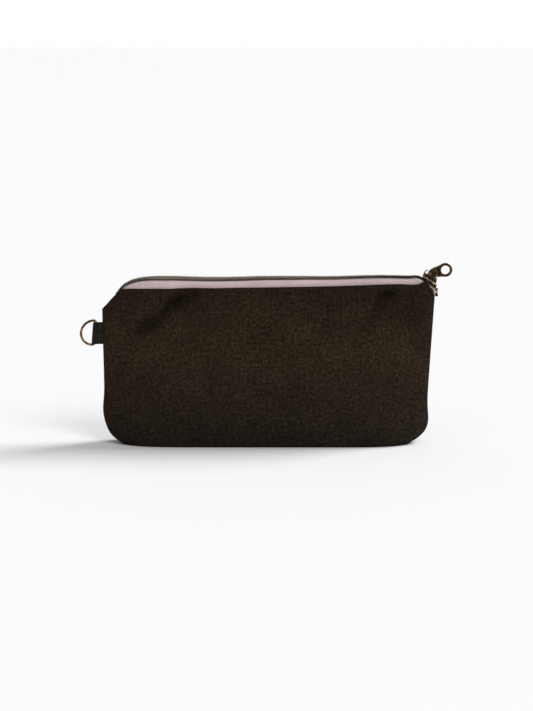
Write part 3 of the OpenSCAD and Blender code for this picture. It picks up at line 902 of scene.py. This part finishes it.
def build_tapes():
    stations = np.concatenate([np.arange(-9, CHAIN_S[-1] - 4, 1.0),
        np.arange(CHAIN_S[-1] - 4, CHAIN_S[-1] + 0.6, 0.5)])
    for side, wall in ((-1, "front_wall"), (1, "back_wall")):
        grid = np.array([tape_section(s, side) for s in stations])
        across = np.concatenate([[0], np.cumsum(np.linalg.norm(np.diff(grid[100], axis=0), axis=1))])
        uv = np.stack(np.meshgrid(stations, across, indexing="ij"), -1) * MM + [0.02, 0]
        out = grid_normals(grid) * (-1 if side > 0 else 1)
        ripple = 0.12 * np.sin(stations * 1.15) * np.sin(stations * 0.21 + 1)
        weight = np.array([0, 0, 0, 0.2, 0.6, 1, 1, 1, 0.8, 0.5, 0, 0, 0])
        grid = grid + out * (ripple[:, None] * weight[None, :])[..., None]
        under = grid + out * TAPE_T
        n, m = grid.shape[:2]
        half = int(np.searchsorted(on_chain(stations, 0, 0)[:, 0], 0.0))
        for left, part in ((True, slice(0, half + 1)), (False, slice(half, None))):
            k = len(grid[part])
            verts = np.concatenate([grid[part].reshape(-1, 3), under[part].reshape(-1, 3)])
            faces = sheet_faces(k, m)
            both = np.concatenate([uv[part].reshape(-1, 2)] * 2)
            name = f"{wall[:-5]}_tape_{'left' if left else 'right'}"
            obj = make_object(name, verts, faces, TAPE, both)
            bmesh_fix(obj)
            sharpen(obj, 60)
            ride_wall(obj)
            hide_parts(f"{wall[:-5]}_zipper_tape")


HEAD_Y = 0.3
HEEL_Y = -1.65
LEG_N = 0.52
STAGGER = 0.12
LOOP_POINTS = 15


def coil_path(first):
    """Centre line of one coil: under leg, round head, upper leg, round heel, on to the next loop."""
    head = np.radians(np.linspace(-75, 75, 6))
    heel = np.radians(np.linspace(105, 255, 5))
    shape = [(HEEL_Y + 0.35, -LEG_N, -STAGGER), (HEAD_Y - 0.3, -LEG_N, -STAGGER)]
    shape += [(HEAD_Y + 0.46 * math.cos(a), LEG_N * math.sin(a), STAGGER * math.sin(a)) for a in head]
    shape += [(HEAD_Y - 0.3, LEG_N, STAGGER), (HEEL_Y + 0.35, LEG_N, STAGGER)]
    shape += [(HEEL_Y + LEG_N * math.cos(a), LEG_N * math.sin(a), STAGGER + (PITCH - 2 * STAGGER) * k / 4)
              for k, a in enumerate(heel)]
    widths = [0.25, 0.25, 0.26, 0.3, 0.315, 0.315, 0.3, 0.3, 0.32, 0.34, 0.33, 0.29, 0.26, 0.25, 0.25]
    # Painted light: how bright each point of a loop is, high on the upper leg and the top of the heel, low on
    # the under leg, the head's underside and the lower heel, as lit tops and shaded undersides.
    wear_and_light_mix = [0, 0, 0, 0, 0.05, 0.1, 0.2, 0.35, 0.95, 1, 0.85, 0.1, 0, 0, 0]
    path, radii, bright = [], [], []
    for i in range(first, LAST_LOOP + 1, 2):
        for (y, n, ds), r, painted_light in zip(shape, widths, wear_and_light_mix):
            s = i * HALF_PITCH + ds
            sink = float(droop(s)) * min(1.0, max(0.0, (0.4 - y) / 2.3)) ** 1.3
            path.append(on_chain(s, -(PART_Y * float(parted(i * HALF_PITCH)) - y), n - sink))
            radii.append(r)
            # The brightness also falls to 0.35 of itself from x = 55 mm to x = 95 mm.
            bright.append(painted_light * (1 - 0.65 * float(ease((path[-1][0] - 55) / 40))))
    return np.array(path), np.array(radii), np.array(bright)


def build_coils():
    for side, wall, first in ((-1, "front_wall", 2), (1, "back_wall", 3)):
        path, radii, bright = coil_path(first)
        path = path * [1, -side, 1]
        cut = int(np.searchsorted(path[:, 0] > 0, True))
        cut -= cut % LOOP_POINTS
        for left, part in ((True, slice(0, cut + 1)), (False, slice(cut, None))):
            verts, faces = tube(path[part], radii[part], 8)
            obj = make_object(f"{wall[:-5]}_coil_{'left' if left else 'right'}", verts, faces, COIL)
            bmesh_fix(obj, weld=False)
            # The attribute carries the coil's painted light from coil_path.
            layer = obj.data.attributes.new("wear_and_light", "FLOAT", "POINT")
            layer.data.foreach_set("value", np.repeat(bright[part], 8).astype(np.float32))
            ride_wall(obj)
            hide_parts(f"{wall[:-5]}_teeth")
        s = np.arange(1.5, LAST_LOOP * HALF_PITCH, 0.5)
        y = 1.05 + PART_Y * parted(s)
        sway = 0.04 * np.sin(s * 3) - 0.5 * droop(s)
        line = np.array([on_chain(a, side * b, n) for a, b, n in zip(s, y, sway)])
        cut = int(np.searchsorted(line[:, 0], 0.0))
        for left, part in ((True, slice(0, cut + 1)), (False, slice(cut, None))):
            verts, faces = tube(line[part], 0.2, 8)
            obj = make_object(f"{wall[:-5]}_filler_{'left' if left else 'right'}", verts, faces, CORD,
                              tube_uv(len(line[part]), 8, 0.5 * len(line[part])))
            bmesh_fix(obj)
            ride_wall(obj)
            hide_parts(f"{wall[:-5]}_coil_cord")


# ---- metal parts ----

def rounded(points, radius, steps=5):
    """A closed outline with each corner cut to an arc-like curve of about that radius."""
    points = np.asarray(points, float)
    result = []
    for k, p in enumerate(points):
        a, b = points[k - 1] - p, points[(k + 1) % len(points)] - p
        la, lb = np.linalg.norm(a), np.linalg.norm(b)
        r = min(radius, la * 0.48, lb * 0.48)
        start, end = p + a / la * r, p + b / lb * r
        for t in np.linspace(0, 1, steps):
            result.append(start * (1 - t) ** 2 + 2 * p * t * (1 - t) + end * t * t)
    return result


def ring_points(x, y, r, count):
    a = np.linspace(0, 2 * np.pi, count, endpoint=False)
    return [(x + r * math.cos(t), y + r * math.sin(t)) for t in a]


BEVEL_TILT = (0.12, 0.97)
PLAIN_WEAR = 0.35


def cut_plate(outlines, low, high, bevel):
    """A plate with soft edges, cut to the outlines in its own plane, holes included."""
    curve = bpy.data.curves.new("plate", "CURVE")
    curve.dimensions = "2D"
    curve.fill_mode = "BOTH"
    curve.bevel_depth = bevel
    curve.bevel_resolution = 2
    curve.offset = -bevel
    curve.extrude = (high - low) / 2 - bevel
    for points in outlines:
        spline = curve.splines.new("POLY")
        spline.points.add(len(points) - 1)
        for p, (x, y) in zip(spline.points, points):
            p.co = (x, y, 0, 1)
        spline.use_cyclic_u = True
    holder = bpy.data.objects.new("plate", curve)
    bpy.context.scene.collection.objects.link(holder)
    bpy.context.view_layer.update()
    mesh = bpy.data.meshes.new_from_object(holder.evaluated_get(bpy.context.evaluated_depsgraph_get()))
    verts = np.array([v.co for v in mesh.vertices]) + [0, 0, (low + high) / 2]
    faces = [list(p.vertices) for p in mesh.polygons]
    # Bevel faces get 1 and flat faces 0: rubbed edges, which also serve as painted highlights along the
    # edges.
    worn = np.array([float(BEVEL_TILT[0] < abs(p.normal.z) < BEVEL_TILT[1]) for p in mesh.polygons])
    bpy.data.objects.remove(holder)
    return verts, faces, worn


def upright(part):
    """Stands a plate on edge: its X stays along, its Y points up."""
    verts, *rest = part
    return verts[:, [0, 2, 1]] * [1, -1, 1], *rest


def turned(part, degrees, at):
    """Turns a part about Y as the CAD does, then moves it."""
    verts, *rest = part
    c, s = math.cos(math.radians(degrees)), math.sin(math.radians(degrees))
    x, y, z = verts[:, 0], verts[:, 1], verts[:, 2]
    return np.stack([x * c + z * s + at[0], y + at[1], -x * s + z * c + at[2]], -1), *rest


def metal_object(name, parts, material, body, node, angle=35):
    verts, faces = merge(parts)
    obj = make_object(name, verts, faces, material)
    # Per-face brightening: rubbed edges that also serve as painted highlights, or PLAIN_WEAR evenly on parts
    # without them.
    worn = np.concatenate([p[2] if len(p) > 2 else np.full(len(p[1]), PLAIN_WEAR) for p in parts])
    obj.data.attributes.new("wear_and_light", "FLOAT", "FACE").data.foreach_set("value", worn.astype(np.float32))
    bmesh_fix(obj)
    sharpen(obj, angle)
    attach(obj, body)
    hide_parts(node)


PIN_X, _, PIN_Z = [(low + high) / 2 / MM for low, high in zip(*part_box("crown_pin"))]
PIN = (PIN_X, 0.0, PIN_Z)


def plate_points(narrow, wide):
    half = SLIDER_L / 2
    right = [(-half, narrow * 0.72), (-half + 1.0, narrow), (WIDEN_FROM, narrow), (WIDEN_TO, wide),
        (half - 1.5, wide),
             (half, wide - 1.8), (half - 0.4, 1.1), (half - 1.2, 0.0)]
    left = [(x, -y) for x, y in right[::-1] if y != 0.0]
    return rounded(right + left, 1.0)


def flange_points(side):
    """One side wall of the slider, seen from above."""
    half = SLIDER_L / 2 - 0.25
    outer = [(-half, SLIDER_NARROW), (WIDEN_FROM, SLIDER_NARROW), (WIDEN_TO, SLIDER_WIDE),
        (half - 0.4, SLIDER_WIDE - 0.1)]
    inner = [(x, y - FLANGE_T) for x, y in outer[::-1]]
    points = [(x, y * side) for x, y in outer + inner]
    return rounded(points if side < 0 else points[::-1], 0.25, 3)


def crown_ridge(low_x, high_x, lift, foot):
    """A slanting ridge on the crown's web, from low_x at the plate to high_x at the arch."""
    start, end = foot + lift, -1.4
    outline = [(low_x, start), (low_x + RIDGE_T, start), (high_x + RIDGE_T, end), (high_x, end)]
    return upright(cut_plate([rounded(outline, 0.2)], -0.78, 0.78, 0.12))


def slider_parts():
    top = cut_plate([plate_points(SLIDER_NARROW, SLIDER_WIDE)], CHANNEL_TOP, CHANNEL_TOP + PLATE_T, 0.3)
    low = cut_plate([plate_points(SLIDER_NARROW - 0.3, SLIDER_WIDE - 0.9)], CHANNEL_LOW - PLATE_T,
        CHANNEL_LOW, 0.3)
    sides = [cut_plate([flange_points(s)], -0.73, CHANNEL_TOP + 0.35, 0.12) for s in (-1, 1)]
    wedge = cut_plate([rounded([(0.2, 0), (2.4, -0.7), (4.4, -0.7), (4.6, 0), (4.4, 0.7), (2.4, 0.7)], 0.3)],
                      CHANNEL_LOW - 0.2, CHANNEL_TOP + 0.2, 0.1)
    rib = cut_plate([rounded([(-4.6, -0.5), (3.2, -0.5), (3.2, 0.5), (-4.6, 0.5)], 0.4)],
                    CHANNEL_TOP + PLATE_T - 0.2, CHANNEL_TOP + PLATE_T + 0.22, 0.14)
    body_at = (CHANNEL_U - SLIDER_BACK, 0, CHANNEL_W + 0.06)
    moved = [turned(part, NOSE_DOWN, body_at) for part in [top, low, *sides, wedge, rib]]
    foot = CHANNEL_W + CHANNEL_TOP + PLATE_T - 0.15
    arch = rounded([
        (-3.9, foot + 0.4), (-3.75, -0.6), (-3.45, 1.0), (-2.2, 1.5), (-0.9, 1.15), (0.0, 1.3), (1.0, 0.9),
        (1.7, -0.4), (3.2, -1.1), (4.75, -1.0), (5.5, -2.4), (5.5, foot - 0.5), (4.3, foot - 0.5),
        (4.2, -2.3), (2.6, -2.2), (1.3, -2.9), (0.4, -1.7), (-0.6, -1.3), (-1.6, -1.6), (-2.5, -1.75),
        (-2.7, foot + 0.3),
    ], 0.7, 4)
    holes = [ring_points(-2.2, 0, CROWN_EYE_R, 32), ring_points(0, 0, PIN_HOLE_R, 24)]
    crown = upright(cut_plate([arch, *holes], -1.0, 1.0, 0.26))
    infill = rounded([(-3.0, foot + 0.2), (-2.8, -1.2), (-0.4, -0.9), (1.6, -1.2), (4.6, -1.6),
        (4.9, foot - 0.4)], 0.4)
    web = upright(cut_plate([infill], -0.5, 0.5, 0.12))
    ridges = [crown_ridge(*place, foot) for place in CROWN_RIDGES]
    return [turned(p, SLIDER_TILT, PIN) for p in [*moved, crown, web, *ridges]]


def pin_part():
    end = [(-1.98, 0.0), (-1.98, 0.28), (-1.92, 0.45), (-1.8, PIN_R)]
    profile = end + [(-y, r) for y, r in end[::-1]]
    angles = [2 * math.pi * k / PIN_SIDES for k in range(PIN_SIDES)]
    rings = []
    for y, r in profile:
        rings += [(r * math.cos(a) + PIN_X, y, r * math.sin(a) + PIN_Z) for a in angles]
    return np.array(rings), [list(f) for f in grid_faces(len(profile), PIN_SIDES, wrap_columns=True)]


def pull_parts():
    cheek = [rounded([(-1.05, -1.0), (-0.3, -1.7), (0.9, -2.4), (4.1, -NECK), (4.1, NECK), (0.9, 2.3),
                      (-0.3, 1.7), (-1.05, 1.0)], 0.6), ring_points(0, 0, PIN_HOLE_R, 24)]
    cheeks = [cut_plate(cheek, -CHEEK_OUT, -CHEEK_IN, 0.2), cut_plate(cheek, CHEEK_IN, CHEEK_OUT, 0.2)]
    across = NECK - 0.1
    joint = rounded([(3.7, -across), (4.08, -across), (4.08, across), (3.7, across)], 0.1)
    block = cut_plate([joint], -1.3, 1.3, 0.08)
    sweep = math.radians(DONUT_SWEEP)
    around = [(PULL_REACH + DONUT_R * math.cos(a), DONUT_R * math.sin(a))
        for a in np.linspace(-sweep, sweep, 54)]
    outline = [(3.72, -NECK + 0.05)] + around + [(3.72, NECK - 0.05)]
    plate = cut_plate([outline, ring_points(PULL_REACH, 0, DONUT_HOLE_R, 48)], -0.8, 0.8, 0.3)
    return [turned(upright(p), -PULL_REST, PIN) for p in [*cheeks, block, plate]]


def rectangle(half_length, y0, y1, radius):
    return rounded([(-half_length, y0), (half_length, y0), (half_length, y1), (-half_length, y1)], radius)


def stop_part(s, y0, y1):
    """A crimped metal stop on the chain at arc length s, from y0 to y1."""
    plate = cut_plate([rectangle(STOP_L / 2, y0, y1, 0.5)], STOP_LOW, STOP_HIGH, 0.35)
    rim = rectangle(STOP_L / 2 - 0.35, y0 + 0.5, y1 - 0.5, 0.3)
    groove = cut_plate([rim], STOP_HIGH - 0.15, STOP_HIGH + 0.1, 0.1)
    at = on_chain(s, 0.0, 0.0)
    return [turned(p, -float(chain_slope(s)), at) for p in (plate, groove)]


def build_metal():
    metal_object("slider", slider_parts(), DARK_BRASS, "slider", "slider_body")
    metal_object("crown_rivet", [pin_part()], DARK_BRASS, "carriage", "crown_pin")
    metal_object("ring_pull", pull_parts(), BRASS, "pull", "pull_tab")
    s = (LAST_LOOP + 3) * HALF_PITCH
    for name, part, node in (
        ("closed_end_stop", stop_part(HALF_PITCH, -2.6, 2.6), "bottom_stop"),
        ("front_end_stop", stop_part(s, -PART_Y - 2.2, -PART_Y + 0.7), "front_top_stop"),
        ("back_end_stop", stop_part(s, PART_Y - 0.7, PART_Y + 2.2), "back_top_stop"),
    ):
        metal_object(name, part, BRASS, "base", node)


def build_ring():
    arc = np.radians(np.linspace(90, 270, 60))
    corner = np.radians(np.linspace(0, 90, 9))
    bar_top = BOW_R - BEND_R
    path = [(BAR_X, TAB_Z + z) for z in np.linspace(-bar_top, bar_top, 12)]
    path += [(BAR_X - BEND_R + BEND_R * math.cos(a), TAB_Z + bar_top + BEND_R * math.sin(a))
        for a in corner[1:]]
    path += [(BAR_X - BEND_R + BOW_R * math.cos(a), TAB_Z + BOW_R * math.sin(a)) for a in arc[1:]]
    path += [(BAR_X - BEND_R + BEND_R * math.sin(a), TAB_Z - bar_top - BEND_R * math.cos(a))
        for a in corner[1:-1]]
    line = np.array([(x + RING_LEAN * (z - TAB_Z), 0.0, z) for x, z in path])
    verts, faces = tube(line, WIRE_R, 20, closed=True)
    metal_object("d_ring_wire", [(verts, faces)], RING_WIRE, "ring", "d_ring", 60)


# ---- webbing tab ----

TAB_H = 13.6
TAB_DOWN = 0.3
TAB_ROWS = 34
TAB_STITCHES = 6
STITCH_L = 1.7
STITCH_R = 0.17


def tab_path():
    """Centre line of the folded webbing in plan: one ply, round the bar, the other ply."""
    r = WIRE_R + 0.06 + WEBBING_T / 2
    ply = WEBBING_T / 2 + 0.04
    front = [(SEAM_X + 0.55, -0.34), (SEAM_X - 0.4, -ply), (SEAM_X - 1.4, -ply), (BAR_X + 2.3, -ply - 0.05),
        (BAR_X + 1.3, -ply - 0.3)]
    fold = [(BAR_X + r * math.cos(a), r * math.sin(a)) for a in np.radians(np.linspace(-62, -298, 17))]
    back = [(x, -y) for x, y in front[::-1]]
    return np.array(front + fold + back)


def build_tab():
    path = tab_path()
    fine = [path[0]]
    for a, b in zip(path[:-1], path[1:]):
        fine += [a + (b - a) * t for t in (0.34, 0.67, 1.0)]
    path = np.array(fine)
    ahead = unit(np.gradient(path, axis=0))
    normal = np.stack([ahead[:, 1], -ahead[:, 0]], -1)
    length = np.concatenate([[0], np.cumsum(np.linalg.norm(np.diff(path, axis=0), axis=1))])
    z = np.linspace(-TAB_H / 2, TAB_H / 2, TAB_ROWS)
    skins = []
    for offset in (WEBBING_T / 2, -WEBBING_T / 2):
        edge = 1 - 0.45 * (np.abs(z) / (TAB_H / 2)) ** 10
        rows = []
        for zz, e in zip(z, edge):
            out = path + normal * offset * e
            reach = np.clip((SEAM_X - out[:, 0]) / 6, 0, 1)
            lean = RING_LEAN * zz * reach
            crease = 0.16 * np.exp(-(((zz + 1.2 * (out[:, 0] + 105)) - 1.5) / 0.7) ** 2)
            crease += 0.13 * np.exp(-(((zz - 0.9 * (out[:, 0] + 105)) + 3.2) / 0.6) ** 2)
            sign = np.where(out[:, 1] < 0, 1.0, -1.0)
            flat = ease((out[:, 0] - BAR_X) / 2)
            rows.append(np.stack([out[:, 0] + lean, out[:, 1] + sign * crease * flat * 0.8,
                                  np.full_like(lean, TAB_Z - TAB_DOWN + zz)], -1))
        skins.append(np.array(rows))
    n, m = skins[0].shape[:2]
    verts = np.concatenate([skins[0].reshape(-1, 3), skins[1].reshape(-1, 3)])
    faces = sheet_faces(n, m)
    uv = np.stack([np.tile(length, n), np.repeat(z, m)], -1) * MM
    obj = make_object("webbing_tab", verts, faces, WEBBING, np.concatenate([uv, uv]))
    bmesh_fix(obj)
    sharpen(obj, 60)
    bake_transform(obj)
    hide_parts("tab_loop")


def build_stitches():
    """A bar of stitches on each face of the tab, that closes the webbing round the ring."""
    parts = []
    step = TAB_H / TAB_STITCHES
    for side in (-1, 1):
        for k in range(TAB_STITCHES):
            zz = TAB_Z - TAB_DOWN - TAB_H / 2 + (k + 0.5) * step
            x = BAR_X + 3.0 + 0.5 * RING_LEAN * (zz - TAB_Z)
            line = [(x, side * (0.86 + 0.2 * math.sin(math.pi * t)), zz + (t - 0.5) * STITCH_L)
                    for t in np.linspace(0, 1, 9)]
            parts.append(tube(line, STITCH_R, 8))
    verts, faces = merge(parts)
    uv = np.stack([verts[:, 2] * MM, verts[:, 1] * MM], -1)
    stitches = make_object("tab_stitches", verts, faces, THREAD, uv)
    bmesh_fix(stitches)
    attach(stitches, "tab")
    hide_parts("tab_stitching")


# ---- floor, lights and camera ----

HORIZON_LIGHT = 1.1
SKY_LIGHT = 0.33
FLOOR_HALF = 60000.0
FLOOR_Z = -0.15
SUNS = [("back_light", (0.72, 0.27, 0.64), 2.8, 28.0), ("front_light", (0.40, -0.62, 0.66), 0.95, 26.0)]


def build_stage():
    verts = [(x * FLOOR_HALF, y * FLOOR_HALF, FLOOR_Z) for x, y in ((-1, -1), (1, -1), (1, 1), (-1, 1))]
    material, tree, shader = new_material("floor_white")
    speck = noise_at(tree, add(tree, "ShaderNodeTexCoord").outputs["Object"], 300, 2)
    tree.links.new(blend_colour(tree, speck, (0.86, 0.86, 0.86), (0.88, 0.88, 0.88)),
        shader.inputs["Base Color"])
    shader.inputs["Roughness"].default_value = 0.9
    floor = make_object("floor", verts, [[0, 1, 2, 3]], material, smooth=False)

    world = bpy.data.worlds.new("studio")
    world.use_nodes = True
    tree = world.node_tree
    background = tree.nodes["Background"]
    way = add(tree, "ShaderNodeSeparateXYZ", {"Vector": add(tree, "ShaderNodeTexCoord").outputs["Generated"]})
    height = maths(tree, "ABSOLUTE", way.outputs[2])
    tree.links.new(remap(tree, height, 0.06, 0.25, HORIZON_LIGHT, SKY_LIGHT), background.inputs["Strength"])
    background.inputs["Color"].default_value = (1.0, 1.0, 1.0, 1.0)
    bpy.context.scene.world = world


def build_lights():
    for name, way, strength, spread in SUNS:
        data = bpy.data.lights.new(name, "SUN")
        data.energy = strength
        data.angle = math.radians(spread)
        sun = bpy.data.objects.new(name, data)
        sun.rotation_mode = "QUATERNION"
        sun.rotation_quaternion = Vector(way).to_track_quat("Z", "Y")
        bpy.context.scene.collection.objects.link(sun)


CAMERA_DISTANCE = 1.3
CAMERA_ELEVATION = 9.0
CAMERA_AIM = (-0.0012, -0.0174, 0.0574)
CAMERA_LENS = 143.5


def build_camera():
    data = bpy.data.cameras.new("camera")
    data.sensor_fit = "HORIZONTAL"
    data.sensor_width = 36.0
    data.lens = CAMERA_LENS
    data.clip_start = 0.05
    data.clip_end = 20.0
    camera = bpy.data.objects.new("camera", data)
    e = math.radians(CAMERA_ELEVATION)
    back = Vector((0, -math.cos(e), math.sin(e)))
    camera.location = Vector(CAMERA_AIM) + back * CAMERA_DISTANCE
    camera.rotation_mode = "QUATERNION"
    camera.rotation_quaternion = (-back).to_track_quat("-Z", "Y")
    bpy.context.scene.collection.objects.link(camera)
    bpy.context.scene.camera = camera
    bpy.context.scene.view_settings.view_transform = "Standard"


build_walls()
build_base()
build_side_seams()
build_tapes()
build_coils()
build_metal()
build_ring()
build_tab()
build_stitches()
build_stage()
build_lights()
build_camera()
